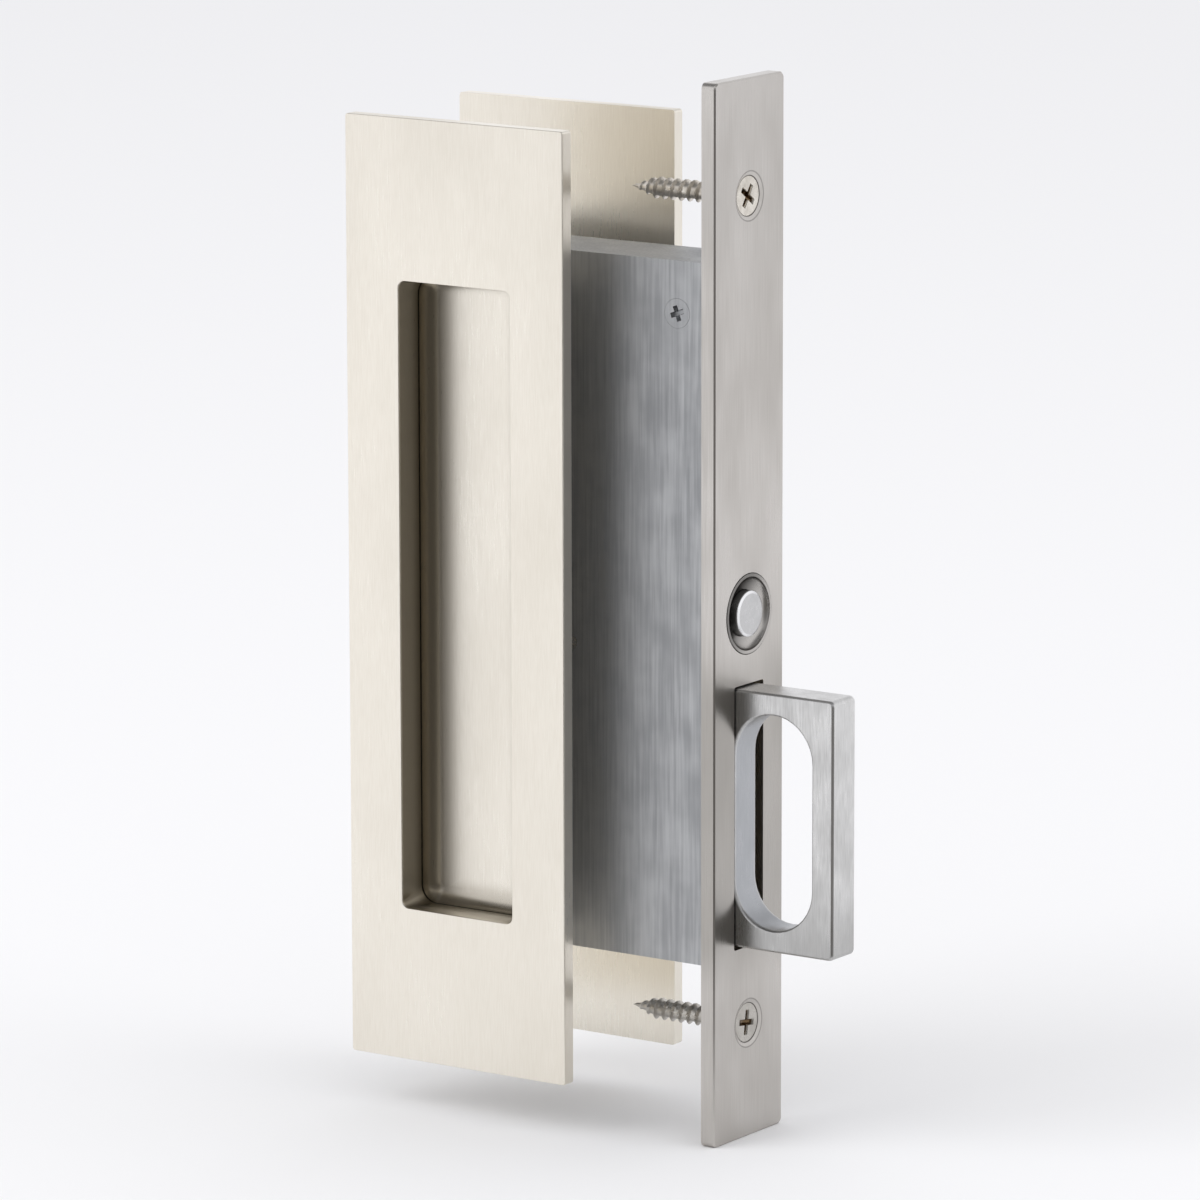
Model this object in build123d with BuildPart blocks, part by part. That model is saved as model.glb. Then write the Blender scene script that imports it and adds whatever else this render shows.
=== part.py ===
from build123d import *
from math import cos, pi, sin
import os

# Pocket door mortise lock with a sprung edge pull, in millimetres.
# The origin is the centre of the faceplate's back, where it seats in the door's edge.
# +X points out of the door's edge, -Y to the front of the door and +Z up.

# Faceplate, let into the door's edge
face_width = 23.6
face_height = 203.2
face_thickness = 3.0
face_corner = 1.2
face_bevel = 0.3
pocket_depth = 0.6

# Wood screws that hold the faceplate
screw_pitch = 158.75
sink_diameter = 9.4
sink_angle = 90
head_diameter = 7.7
head_sunk = 0.4
shank_diameter = 4.2
neck_extra = 0.5
shank_length = 19.0
point_length = 4.5
upper_screw_turn = 30
lower_screw_turn = 8

# Cross recesses of the screws
wood_cross = 4.8
cover_cross = 3.0
through_cross = 4.2
cross_slot = 1.0
cross_depth = 1.1
cross_taper = 8
inner_screw_turn = 20

# Edge pull
pull_height = 49.9
pull_thickness = 7.8
pull_out = 22.0
pull_corner = 1.2
pull_bevel = 0.6
finger_width = 17.3
finger_height = 41.5
finger_rim = 4.95
finger_bevel = 0.8
slot_front_gap = 0.3
slot_back_gap = 1.9
slot_top_gap = 0.35
slot_bottom_gap = 0.75
slot_corner = 0.5

# Carriage that holds the pull's tongue
tongue_depth = 7.5
carriage_web = 4.5
carriage_end = 1.85
carriage_chamfer = 0.5
cross_pin_diameter = 3.0
cross_pin_pitch = 34.0

# Leaf catch on the carriage
leaf_sheet = 0.5
leaf_width = 5.0
leaf_flat = 4.5
leaf_rise = 1.9
leaf_setback = 0.5

# Straight runs of wire to one turn of a spring
coil_sides = 16

# Springs that throw the pull out
throw_spring_pitch = 28.0
throw_spring_diameter = 7.5
throw_wire = 1.0
throw_turns = 6
throw_block = 10.4
throw_pocket = 2.0
abutment_thickness = 2.0
abutment_margin = 7.0
abutment_tab = 8.0
rod_gap = 0.45
rod_tip_gap = 3.4

# Push button and its bezel
button_diameter = 8.8
button_proud = 0.4
button_chamfer = 0.5
button_head = 4.5
button_travel = 2.0
stem_diameter = 4.5
bezel_diameter = 15.4
bezel_proud = 0.15
bezel_flange = 1.9
bezel_rim = 0.85
bezel_seam = 0.12
dish_depth = 1.6
dish_sag = 0.35
bushing_wall = 0.75
bushing_floor = 2.0
button_block = 4.5
button_wire = 0.8
button_turns = 3
nut_thickness = 2.5
nut_sides = 6
clip_diameter = 8.0
clip_thickness = 0.8
clip_groove = 0.55

# Release lever
lever_arm = 8.0
lever_thickness = 3.0
hub_radius = 3.2
hub_neck_radius = 2.4
hub_gap = 0.7
arm_width = 2.4
pad_radius = 1.6
nose_width = 3.0
nose_reach = 9.6
nose_arm_height = 3.0
pivot_diameter = 3.0
peg_radius = 1.0
peg_wall = 0.6
peg_drop = 2.6
lever_wire = 0.6
lever_coil_pitch = 0.75
lever_coil_turns = 2.75
lever_leg_up = 7.5
lever_leg_back = 13.0
leg_rest_reach = 11.0

# Case
case_thickness = 15.9
case_wall = 1.5
case_behind = 14.5
case_corner = 3.0
pillar_diameter = 5.0
pillar_inset = 10.0
pillar_edge = 8.0
cover_screw_diameter = 3.0
cover_head_diameter = 5.6
cover_screw_length = 7.0

# Door and flush plates
door_thickness = 34.9
plate_width = 50.0
plate_height = 183.1
plate_thickness = 2.8
plate_setback = 25.5
plate_corner = 0.6
plate_bevel = 0.35
window_width = 25.7
window_height = 122.0
window_drop = 0.6
window_corner = 1.4
wall_depth = 6.6
collar_wall = 2.0
cup_sheet = 0.85
cup_round = 3.4
cup_case_gap = 2.05

# Posts that draw the two flush plates together
post_pitch = 90.0
post_offset = 4.0
post_diameter = 7.0
post_tap = 10.0
through_screw_diameter = 4.0
through_head_diameter = 7.4
through_head_height = 2.2
through_head_bevel = 0.7
through_screw_length = 9.6

# Clearances
seat_gap = 0.05
run_gap = 0.1
slide_gap = 0.3
stop_gap = 0.1
touch_gap = 0.2
end_gap = 0.1

# Places along X, from the faceplate back into the door
face_front = face_thickness
pull_end = face_front + pull_out
finger_x = pull_end - finger_rim - finger_width / 2
case_inner_front = pocket_depth - case_wall
carriage_front = case_inner_front - stop_gap
tongue_end = carriage_front - tongue_depth
carriage_back = tongue_end - carriage_web
spring_seat = carriage_back + throw_pocket
cross_pin_x = (carriage_front + tongue_end) / 2
nose_rear = carriage_front - pull_out + touch_gap
nose_front = nose_rear + nose_width
lever_x = nose_rear - nose_reach
throw_length = pull_out + throw_block
abutment_front = spring_seat - throw_length
abutment_back = abutment_front - abutment_thickness
plate_x = -(plate_setback + plate_width / 2)
post_x = plate_x - post_offset
case_back = plate_x - case_behind
case_length = pocket_depth - case_back
case_x = pocket_depth - case_length / 2

# Places along X of the button's train
bezel_front = face_front + bezel_proud
bezel_seat = bezel_front - bezel_flange
button_front = face_front + button_proud
head_back = button_front - button_head
spring_floor = head_back - button_travel - button_block
bezel_tail = spring_floor - bushing_floor
clip_front = bezel_tail - touch_gap
clip_back = clip_front - clip_thickness
stem_end = lever_x + pad_radius + touch_gap

# Places along Z, measured from the button's axis
lever_z = -lever_arm
carriage_top = lever_z - hub_radius - hub_gap
pull_z = carriage_top - carriage_end - pull_height / 2
carriage_bottom = pull_z - pull_height / 2 - carriage_end
slot_height = pull_height + slot_top_gap + slot_bottom_gap
slot_z = pull_z + (slot_top_gap - slot_bottom_gap) / 2
case_half = slide_gap + case_wall - carriage_bottom
pillar_z = case_half - pillar_inset

# Places along Y, measured from the middle of the door
case_face = case_thickness / 2
case_inner = case_face - case_wall
carriage_half = case_inner - slide_gap
slot_width = pull_thickness + slot_front_gap + slot_back_gap
pull_y = (slot_front_gap - slot_back_gap) / 2
plate_back = door_thickness / 2
plate_front = plate_back + plate_thickness
seam = plate_front - wall_depth
cup_back = case_face + cup_case_gap
cup_floor = cup_back + cup_sheet
cup_depth = seam - cup_floor
dish_round = min(cup_round, cup_depth - end_gap)

# Radii that follow from the sizes
shank_radius = shank_diameter / 2
neck_radius = shank_radius + neck_extra / 2
head_radius = head_diameter / 2
button_radius = button_diameter / 2
stem_radius = stem_diameter / 2
bezel_bore = button_radius + run_gap
bushing_radius = bezel_bore + bushing_wall
bezel_radius = bezel_diameter / 2
throw_radius = (throw_spring_diameter - throw_wire) / 2
rod_radius = throw_radius - throw_wire / 2 - rod_gap
lever_coil_radius = hub_neck_radius + touch_gap + lever_wire / 2
pivot_radius = pivot_diameter / 2
post_radius = post_diameter / 2
post_hole = post_radius + slide_gap
pillar_radius = pillar_diameter / 2

# Where the torsion spring's lower leg lies on a pillar
leg_rest_x = lever_x - leg_rest_reach
leg_rest_z = lever_z + lever_coil_radius - lever_wire / 2 - touch_gap - pillar_radius

post_spots = [(post_x, post_pitch / 2), (post_x, -post_pitch / 2)]
pillar_spots = [
    (-pillar_edge, pillar_z),
    (case_back + pillar_edge, -pillar_z),
    (leg_rest_x, leg_rest_z),
]
throw_spots = [pull_z + throw_spring_pitch / 2, pull_z - throw_spring_pitch / 2]
pin_spots = [
    (cross_pin_x, pull_z + cross_pin_pitch / 2),
    (cross_pin_x, pull_z - cross_pin_pitch / 2),
]
abutment_height = throw_spring_pitch + 2 * abutment_margin

os.makedirs("parts", exist_ok=True)


def cross_recess(plane, turn, length):
    """Cut a cross recess, narrowing inwards, into the screw that is being made."""
    with BuildSketch(plane) as cross:
        Rectangle(length, cross_slot, rotation=turn)
        Rectangle(cross_slot, length, rotation=turn)
    extrude(cross.sketch, amount=-cross_depth, taper=cross_taper, mode=Mode.SUBTRACT)


def wind_wire(route, wire, outward):
    """Sweep square wire along a bent route, into the spring that is being made."""
    with BuildLine() as path:
        Polyline(*route)
    with BuildSketch(Plane(path.line @ 0, x_dir=outward, z_dir=path.line % 0)) as section:
        Rectangle(wire, wire)
    sweep(section.sketch, path=path.line, transition=Transition.RIGHT)


def compression_route(back, front, z, mean_radius, wire, turns):
    """Points of a coil along X between two seats, its wire just clear of both."""
    steps = turns * coil_sides
    rise = (front - back - 2 * wire) / steps
    angles = [2 * pi * step / coil_sides for step in range(steps + 1)]
    return [
        (back + wire + rise * step, mean_radius * cos(angle), z + mean_radius * sin(angle))
        for step, angle in enumerate(angles)
    ]


# Faceplate: flat stainless bar with a slot, a stepped hole and two dimpled countersinks
with BuildPart() as faceplate:
    with BuildSketch(Plane.YZ):
        RectangleRounded(face_width, face_height, face_corner)
    extrude(amount=face_thickness)
    chamfer(faceplate.faces().sort_by(Axis.X)[-1].edges(), face_bevel)
    with BuildSketch(Plane.YZ):
        with Locations((0, slot_z)):
            RectangleRounded(slot_width, slot_height, slot_corner)
    extrude(amount=face_thickness, mode=Mode.SUBTRACT)
    with BuildSketch(Plane.YZ):
        Rectangle(case_thickness + 2 * seat_gap, 2 * (case_half + seat_gap))
    extrude(amount=pocket_depth, mode=Mode.SUBTRACT)
    with Locations(Plane.YZ.offset(face_front)):
        CounterBoreHole(
            bushing_radius + seat_gap,
            bezel_radius + bezel_seam,
            face_front - bezel_seat,
            face_thickness,
        )
        with GridLocations(face_width, screw_pitch, 1, 2):
            Cone(
                head_radius,
                sink_diameter / 2,
                head_sunk,
                align=(Align.CENTER, Align.CENTER, Align.MAX),
                mode=Mode.SUBTRACT,
            )
    with Locations(Plane.YZ.offset(face_front - head_sunk)):
        with GridLocations(face_width, screw_pitch, 1, 2):
            CounterSinkHole(neck_radius + seat_gap, head_radius, face_thickness, sink_angle)
faceplate.part.label = "faceplate"
export_step(faceplate.part, "parts/faceplate.step")

# Wood screws: countersunk head, shank and point
with BuildPart() as faceplate_screws:
    head_top = face_front - head_sunk
    cone_back = head_top - (head_radius - neck_radius)
    for z, turn in ((screw_pitch / 2, upper_screw_turn), (-screw_pitch / 2, lower_screw_turn)):
        with BuildSketch(Plane.XY.offset(z)):
            with BuildLine():
                Polyline(
                    (head_top, 0),
                    (head_top, head_radius - seat_gap),
                    (cone_back, neck_radius - seat_gap / 2),
                    (0, neck_radius - seat_gap / 2),
                    (0, shank_radius),
                    (-shank_length, shank_radius),
                    (-shank_length - point_length, 0),
                    close=True,
                )
            make_face()
        revolve(axis=Axis((0, 0, z), (1, 0, 0)))
        cross_recess(Plane((head_top, 0, z), z_dir=(1, 0, 0)), turn, wood_cross)
faceplate_screws.part.label = "faceplate_screws"
export_step(faceplate_screws.part, "parts/faceplate_screws.step")

# Edge pull: flat casting with a finger hole and a tongue into the carriage
with BuildPart() as edge_pull:
    with BuildSketch(Plane.XZ.offset(-pull_y)) as pull_side:
        with Locations(((pull_end + tongue_end) / 2, pull_z)):
            Rectangle(pull_end - tongue_end, pull_height)
        fillet(pull_side.vertices().group_by(Axis.X)[-1], pull_corner)
        with Locations((finger_x, pull_z)):
            SlotOverall(finger_height, finger_width, rotation=90, mode=Mode.SUBTRACT)
    extrude(amount=pull_thickness / 2, both=True)
    sides = edge_pull.faces().filter_by(Axis.Y)
    finger_rims = [edge for face in sides for edge in face.inner_wires()[0].edges()]
    outer_rims = [edge for face in sides for edge in face.outer_wire().edges()]
    chamfer(finger_rims, finger_bevel)
    chamfer(ShapeList(outer_rims).sort_by(Axis.X)[2:], pull_bevel)
    with BuildSketch(Plane.XZ.offset(-pull_y)):
        with Locations(*pin_spots):
            Circle(cross_pin_diameter / 2 + seat_gap / 2)
    extrude(amount=pull_thickness, both=True, mode=Mode.SUBTRACT)
edge_pull.part.label = "edge_pull"
export_step(edge_pull.part, "parts/edge_pull.step")

# Carriage: block that sockets the tongue, with pockets for the springs
with BuildPart() as pull_carriage:
    with BuildSketch(Plane.XZ):
        with Locations(((carriage_front + carriage_back) / 2, pull_z)):
            Rectangle(carriage_front - carriage_back, carriage_top - carriage_bottom)
    extrude(amount=carriage_half, both=True)
    chamfer(pull_carriage.edges().filter_by(Axis.Z).group_by(Axis.X)[0], carriage_chamfer)
    with BuildSketch(Plane.YZ.offset(tongue_end)):
        with Locations((pull_y, pull_z)):
            Rectangle(pull_thickness + 2 * seat_gap, pull_height + 2 * seat_gap)
    extrude(amount=tongue_depth, mode=Mode.SUBTRACT)
    with BuildSketch(Plane.YZ.offset(carriage_back)):
        with Locations(*[(0, z) for z in throw_spots]):
            Circle(throw_spring_diameter / 2 + slide_gap)
    extrude(amount=throw_pocket, mode=Mode.SUBTRACT)
    with BuildSketch(Plane.XZ):
        with Locations(*pin_spots):
            Circle(cross_pin_diameter / 2 + seat_gap / 2)
    extrude(amount=case_thickness, both=True, mode=Mode.SUBTRACT)
pull_carriage.part.label = "pull_carriage"
export_step(pull_carriage.part, "parts/pull_carriage.step")

# Cross pins that hold the tongue in the carriage
with BuildPart() as carriage_pins:
    with BuildSketch(Plane.XZ):
        with Locations(*pin_spots):
            Circle(cross_pin_diameter / 2)
    extrude(amount=carriage_half, both=True)
carriage_pins.part.label = "carriage_pins"
export_step(carriage_pins.part, "parts/carriage_pins.step")

# Leaf catch: sprung strip welded to the carriage, its raised end caught by the lever's nose
with BuildPart() as catch_leaf:
    leaf_back = carriage_back + leaf_setback
    leaf_bend = leaf_back + leaf_flat
    with BuildSketch(Plane.XZ):
        with BuildLine():
            Polyline(
                (leaf_back, carriage_top),
                (leaf_bend, carriage_top),
                (carriage_front, carriage_top + leaf_rise - leaf_sheet),
                (carriage_front, carriage_top + leaf_rise),
                (leaf_bend, carriage_top + leaf_sheet),
                (leaf_back, carriage_top + leaf_sheet),
                close=True,
            )
        make_face()
    extrude(amount=leaf_width / 2, both=True)
catch_leaf.part.label = "catch_leaf"
export_step(catch_leaf.part, "parts/catch_leaf.step")

# Springs that throw the pull out when the lever lets it go
with BuildPart() as pull_spring_upper:
    upper_route = compression_route(
        abutment_front, spring_seat, throw_spots[0], throw_radius, throw_wire, throw_turns
    )
    wind_wire(upper_route, throw_wire, (0, 1, 0))
pull_spring_upper.part.label = "pull_spring_upper"
export_step(pull_spring_upper.part, "parts/pull_spring_upper.step")

with BuildPart() as pull_spring_lower:
    lower_route = compression_route(
        abutment_front, spring_seat, throw_spots[1], throw_radius, throw_wire, throw_turns
    )
    wind_wire(lower_route, throw_wire, (0, 1, 0))
pull_spring_lower.part.label = "pull_spring_lower"
export_step(pull_spring_lower.part, "parts/pull_spring_lower.step")

# Abutment: plate across the case that the springs push against, tabbed into both sides
with BuildPart() as spring_abutment:
    with BuildSketch(Plane.YZ.offset(abutment_back)):
        with Locations((0, pull_z)):
            Rectangle(2 * case_inner, abutment_height)
        with Locations(*[(0, z) for z in throw_spots]):
            Rectangle(case_thickness, abutment_tab)
    extrude(amount=abutment_thickness)
spring_abutment.part.label = "spring_abutment"
export_step(spring_abutment.part, "parts/spring_abutment.step")

# Stub rods that keep the springs in line, welded to the abutment
with BuildPart() as spring_guide_rods:
    with BuildSketch(Plane.YZ.offset(abutment_front)):
        with Locations(*[(0, z) for z in throw_spots]):
            Circle(rod_radius)
    extrude(amount=throw_block - rod_tip_gap)
spring_guide_rods.part.label = "spring_guide_rods"
export_step(spring_guide_rods.part, "parts/spring_guide_rods.step")

# Push button: turned head on a long stem with a clip groove
with BuildPart() as push_button:
    with BuildSketch(Plane.XY):
        with BuildLine():
            Polyline(
                (button_front, 0),
                (button_front, button_radius - button_chamfer),
                (button_front - button_chamfer, button_radius),
                (head_back, button_radius),
                (head_back, stem_radius),
                (clip_front, stem_radius),
                (clip_front, stem_radius - clip_groove),
                (clip_back - seat_gap, stem_radius - clip_groove),
                (clip_back - seat_gap, stem_radius),
                (stem_end, stem_radius),
                (stem_end, 0),
                close=True,
            )
        make_face()
    revolve(axis=Axis.X)
push_button.part.label = "push_button"
export_step(push_button.part, "parts/push_button.step")

# Bezel: turned bushing with a dished flange, bored for the button and its stem
with BuildPart() as button_bezel:
    dish_top = (bezel_front, bezel_radius - bezel_rim)
    dish_bottom = (bezel_front - dish_depth, bezel_bore)
    dish_middle = (
        (dish_top[0] + dish_bottom[0]) / 2 - dish_sag,
        (dish_top[1] + dish_bottom[1]) / 2 + dish_sag,
    )
    with BuildSketch(Plane.XY):
        with BuildLine():
            Polyline(
                dish_top,
                (bezel_front, bezel_radius),
                (bezel_seat, bezel_radius),
                (bezel_seat, bushing_radius),
                (bezel_tail, bushing_radius),
                (bezel_tail, stem_radius + run_gap),
                (spring_floor, stem_radius + run_gap),
                (spring_floor, bezel_bore),
                dish_bottom,
                dish_middle,
                close=True,
            )
        make_face()
    revolve(axis=Axis.X)
button_bezel.part.label = "button_bezel"
export_step(button_bezel.part, "parts/button_bezel.step")

# Nut that clamps the case's front wall to the faceplate through the bezel
with BuildPart() as bezel_nut:
    with BuildSketch(Plane.YZ.offset(case_inner_front)):
        RegularPolygon(case_inner - slide_gap, nut_sides, major_radius=False, rotation=180 / nut_sides)
        Circle(bushing_radius + seat_gap, mode=Mode.SUBTRACT)
    extrude(amount=-nut_thickness)
bezel_nut.part.label = "bezel_nut"
export_step(bezel_nut.part, "parts/bezel_nut.step")

# Return spring under the button's head
with BuildPart() as button_spring:
    button_route = compression_route(
        spring_floor, head_back, 0, (bezel_bore + stem_radius) / 2, button_wire, button_turns
    )
    wind_wire(button_route, button_wire, (0, 1, 0))
button_spring.part.label = "button_spring"
export_step(button_spring.part, "parts/button_spring.step")

# Clip in the stem's groove that stops the button coming out
with BuildPart() as button_clip:
    groove_radius = stem_radius - clip_groove + seat_gap / 2
    with BuildSketch(Plane.YZ.offset(clip_back)):
        Circle(clip_diameter / 2)
        Circle(groove_radius, mode=Mode.SUBTRACT)
        Rectangle(
            2 * groove_radius, clip_diameter, align=(Align.CENTER, Align.MAX), mode=Mode.SUBTRACT
        )
    extrude(amount=clip_thickness)
button_clip.part.label = "button_clip"
export_step(button_clip.part, "parts/button_clip.step")

# Release lever: upright arm for the button's stem, nose that holds the leaf catch, long hub
with BuildPart() as release_lever:
    peg_x = lever_x - lever_coil_radius + lever_wire / 2 + peg_radius + touch_gap
    peg_z = -peg_drop
    nose_tip = carriage_top + touch_gap
    with BuildSketch(Plane.XZ):
        with Locations((lever_x, lever_z)):
            Circle(hub_radius)
            Rectangle(arm_width, lever_arm, align=(Align.CENTER, Align.MIN))
        with Locations((lever_x, 0)):
            Circle(pad_radius)
        with Locations((peg_x, peg_z)):
            Circle(peg_radius + peg_wall)
        with Locations((lever_x, lever_z)):
            Rectangle(nose_front - lever_x, nose_arm_height, align=(Align.MIN, Align.CENTER))
        with Locations((nose_rear, nose_tip)):
            Rectangle(nose_width, lever_z - nose_tip, align=(Align.MIN, Align.MIN))
    extrude(amount=lever_thickness / 2, both=True)
    with BuildSketch(Plane.XZ):
        with Locations((lever_x, lever_z)):
            Circle(hub_neck_radius)
    extrude(amount=carriage_half, both=True)
    with BuildSketch(Plane.XZ):
        with Locations((peg_x, peg_z)):
            Circle(peg_radius)
    extrude(amount=-(lever_thickness / 2 + lever_coil_pitch * lever_coil_turns + 2 * lever_wire))
    with BuildSketch(Plane.XZ):
        with Locations((lever_x, lever_z)):
            Circle(pivot_radius + seat_gap)
    extrude(amount=case_thickness, both=True, mode=Mode.SUBTRACT)
release_lever.part.label = "release_lever"
export_step(release_lever.part, "parts/release_lever.step")

# Pin that the lever turns on, riveted into both sides of the case
with BuildPart() as lever_pivot_pin:
    with BuildSketch(Plane.XZ):
        with Locations((lever_x, lever_z)):
            Circle(pivot_radius)
    extrude(amount=case_face, both=True)
lever_pivot_pin.part.label = "lever_pivot_pin"
export_step(lever_pivot_pin.part, "parts/lever_pivot_pin.step")

# Torsion spring round the lever's hub: one leg on a pillar, one on the lever's peg
with BuildPart() as lever_spring:
    coil_y = lever_thickness / 2 + lever_wire
    coil_steps = round(lever_coil_turns * coil_sides)
    coil_angles = [pi / 2 - 2 * pi * step / coil_sides for step in range(coil_steps + 1)]
    coil_route = [
        (
            lever_x + lever_coil_radius * cos(angle),
            coil_y + lever_coil_pitch * step / coil_sides,
            lever_z + lever_coil_radius * sin(angle),
        )
        for step, angle in enumerate(coil_angles)
    ]
    leg_back_tip = (lever_x - lever_leg_back, coil_y, coil_route[0][2])
    leg_up_tip = (coil_route[-1][0], coil_route[-1][1], lever_z + lever_leg_up)
    wind_wire([leg_back_tip, *coil_route, leg_up_tip], lever_wire, (0, 0, 1))
lever_spring.part.label = "lever_spring"
export_step(lever_spring.part, "parts/lever_spring.step")

# Case body: drawn steel tray, open towards the front of the door
with BuildPart() as case_body:
    with BuildSketch(Plane.XZ.offset(-case_face)):
        with Locations((case_x, 0)):
            Rectangle(case_length, 2 * case_half)
    extrude(amount=case_thickness - case_wall)
    fillet(case_body.edges().filter_by(Axis.Y).group_by(Axis.X)[0], case_corner)
    with BuildSketch(Plane.XZ.offset(-case_inner)) as hollow:
        with Locations((case_x, 0)):
            Rectangle(case_length - 2 * case_wall, 2 * (case_half - case_wall))
        fillet(hollow.vertices().group_by(Axis.X)[0], case_corner - case_wall)
    extrude(amount=2 * case_inner, mode=Mode.SUBTRACT)
    with BuildSketch(Plane.YZ.offset(case_inner_front)):
        with Locations((0, slot_z)):
            Rectangle(slot_width, slot_height)
        Circle(bushing_radius + seat_gap)
    extrude(amount=case_wall, mode=Mode.SUBTRACT)
    with BuildSketch(Plane.XZ.offset(-case_face)):
        with Locations(*post_spots):
            Circle(post_hole)
        with Locations((lever_x, lever_z)):
            Circle(pivot_radius + seat_gap)
        with Locations(*[((abutment_front + abutment_back) / 2, z) for z in throw_spots]):
            Rectangle(abutment_thickness + 2 * seat_gap, abutment_tab + 2 * seat_gap)
    extrude(amount=case_wall, mode=Mode.SUBTRACT)
case_body.part.label = "case_body"
export_step(case_body.part, "parts/case_body.step")

# Case cover: flat plate screwed to the pillars
with BuildPart() as case_cover:
    with BuildSketch(Plane.XZ.offset(case_inner)) as cover_outline:
        with Locations((case_x, 0)):
            Rectangle(case_length, 2 * case_half)
        fillet(cover_outline.vertices().group_by(Axis.X)[0], case_corner)
        with Locations(*post_spots):
            Circle(post_hole, mode=Mode.SUBTRACT)
        with Locations((lever_x, lever_z)):
            Circle(pivot_radius + seat_gap, mode=Mode.SUBTRACT)
        with Locations(*[((abutment_front + abutment_back) / 2, z) for z in throw_spots]):
            Rectangle(
                abutment_thickness + 2 * seat_gap,
                abutment_tab + 2 * seat_gap,
                mode=Mode.SUBTRACT,
            )
    extrude(amount=case_wall)
    with Locations(Plane.XZ.offset(case_face)):
        with Locations(*pillar_spots):
            CounterSinkHole(
                cover_screw_diameter / 2 + seat_gap,
                cover_head_diameter / 2 + seat_gap,
                case_wall,
                sink_angle,
            )
case_cover.part.label = "case_cover"
export_step(case_cover.part, "parts/case_cover.step")

# Pillars welded to the case's back and tapped for the cover's screws
with BuildPart() as cover_pillars:
    with BuildSketch(Plane.XZ.offset(-case_inner)):
        with Locations(*pillar_spots):
            Circle(pillar_radius)
    extrude(amount=2 * case_inner)
    with BuildSketch(Plane.XZ.offset(case_inner)):
        with Locations(*pillar_spots):
            Circle(cover_screw_diameter / 2 + seat_gap / 2)
    extrude(amount=-cover_screw_length, mode=Mode.SUBTRACT)
cover_pillars.part.label = "cover_pillars"
export_step(cover_pillars.part, "parts/cover_pillars.step")

# Cover screws: countersunk, flush with the cover
with BuildPart() as cover_screws:
    cover_sink = (cover_head_diameter - cover_screw_diameter) / 2
    for x, z in pillar_spots:
        with BuildSketch(Plane.XY.offset(z)):
            with BuildLine():
                Polyline(
                    (x, -case_face),
                    (x + cover_head_diameter / 2, -case_face),
                    (x + cover_screw_diameter / 2, -case_face + cover_sink),
                    (x + cover_screw_diameter / 2, -case_inner + cover_screw_length - end_gap),
                    (x, -case_inner + cover_screw_length - end_gap),
                    close=True,
                )
            make_face()
        revolve(axis=Axis((x, 0, z), (0, 1, 0)))
        cross_recess(Plane((x, -case_face, z), z_dir=(0, -1, 0)), inner_screw_turn, cover_cross)
cover_screws.part.label = "cover_screws"
export_step(cover_screws.part, "parts/cover_screws.step")

# Front plate: cast plate with a window and a collar behind it
with BuildPart() as front_plate:
    with BuildSketch(Plane.XZ.offset(plate_back)):
        with Locations((plate_x, 0)):
            RectangleRounded(plate_width, plate_height, plate_corner)
    extrude(amount=plate_thickness)
    with BuildSketch(Plane.XZ.offset(seam)):
        with Locations((plate_x, -window_drop)):
            RectangleRounded(
                window_width + 2 * collar_wall,
                window_height + 2 * collar_wall,
                window_corner + collar_wall,
            )
    extrude(amount=plate_back - seam)
    with BuildSketch(Plane.XZ.offset(seam)):
        with Locations((plate_x, -window_drop)):
            RectangleRounded(window_width, window_height, window_corner)
    extrude(amount=wall_depth, mode=Mode.SUBTRACT)
    chamfer(front_plate.faces().sort_by(Axis.Y)[0].edges(), plate_bevel)
front_plate.part.label = "front_plate"
export_step(front_plate.part, "parts/front_plate.step")

# Hollow of the dish, the shape of the punch that presses it
with BuildPart() as cup_hollow:
    with BuildSketch(Plane.XZ.offset(seam)):
        with Locations((plate_x, -window_drop)):
            Rectangle(window_width, window_height)
    extrude(amount=-cup_depth)
    upright = cup_hollow.edges().filter_by(Axis.Y)
    fillet(upright + cup_hollow.faces().sort_by(Axis.Y)[-1].edges(), dish_round)

# Front cup: pressed dish with a flange brazed to the plate's collar
with BuildPart() as front_cup:
    with BuildSketch(Plane.XZ.offset(seam)):
        with Locations((plate_x, -window_drop)):
            Rectangle(window_width + 2 * cup_sheet, window_height + 2 * cup_sheet)
    extrude(amount=cup_back - seam)
    upright = front_cup.edges().filter_by(Axis.Y)
    fillet(upright + front_cup.faces().sort_by(Axis.Y)[-1].edges(), dish_round + cup_sheet)
    with BuildSketch(Plane.XZ.offset(seam)):
        with Locations((plate_x, -window_drop)):
            RectangleRounded(
                window_width + 2 * collar_wall,
                window_height + 2 * collar_wall,
                window_corner + collar_wall,
            )
    extrude(amount=-cup_sheet)
    add(cup_hollow.part, mode=Mode.SUBTRACT)
front_cup.part.label = "front_cup"
export_step(front_cup.part, "parts/front_cup.step")

# Posts brazed to the back of the front cup, tapped from the rear
with BuildPart() as front_posts:
    with BuildSketch(Plane.XZ.offset(cup_back)):
        with Locations(*post_spots):
            Circle(post_radius)
    extrude(amount=end_gap - 2 * cup_back)
    with BuildSketch(Plane.XZ.offset(end_gap - cup_back)):
        with Locations(*post_spots):
            Circle(through_screw_diameter / 2 + seat_gap)
    extrude(amount=post_tap, mode=Mode.SUBTRACT)
front_posts.part.label = "front_posts"
export_step(front_posts.part, "parts/front_posts.step")

# Rear plate: the same plate on the far side of the door
with BuildPart() as rear_plate:
    mirror(front_plate.part, about=Plane.XZ)
rear_plate.part.label = "rear_plate"
export_step(rear_plate.part, "parts/rear_plate.step")

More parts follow.
